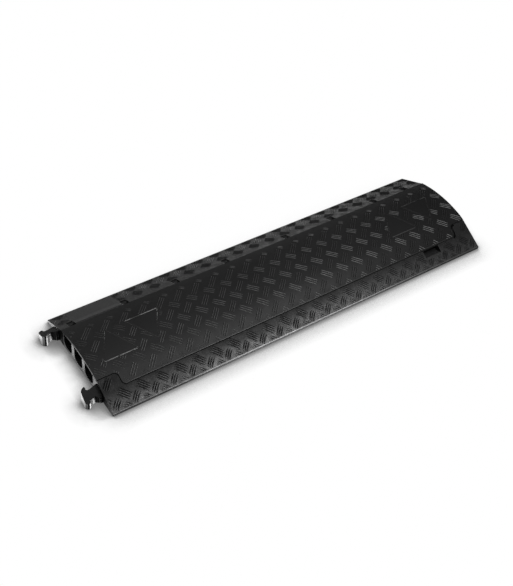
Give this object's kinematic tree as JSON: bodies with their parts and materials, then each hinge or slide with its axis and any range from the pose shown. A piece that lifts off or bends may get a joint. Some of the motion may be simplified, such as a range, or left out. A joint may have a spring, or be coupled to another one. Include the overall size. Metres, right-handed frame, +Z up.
{
  "type": "cable protector ramp",
  "caption": "Floor ramp that carries cables in open U-channels under a hinged, tread-patterned lid, with T-plugs and sockets to join ramps end to end.",
  "frame": {"origin": "centre of the base's footprint, on the ground face", "axes": "+X along the cables, away from the T-plugs; +Y towards the hinge side; +Z up"},
  "size_m": [1.0377, 0.29, 0.052],
  "materials": {
    "base_plastic": "moulded black with a fine leather-like grain, glossy on the cut end faces",
    "lid_plastic": "moulded black, satin, raised bar tread",
    "plug_plastic": "moulded black, glossy sides",
    "steel": "zinc plated"
  },
  "bodies": {
    "base": {"base": "base_plastic", "connector_front": "plug_plastic", "connector_rear": "plug_plastic", "hinge_pins": "steel"},
    "lid": {"lid": "lid_plastic"}
  },
  "joints": [
    {"name": "lid_hinge", "type": "hinge", "parent": "base", "child": "lid", "pos_m": [0, 0.092, 0.025], "axis": [-1, 0, 0], "range_deg": [0, 115]}
  ]
}
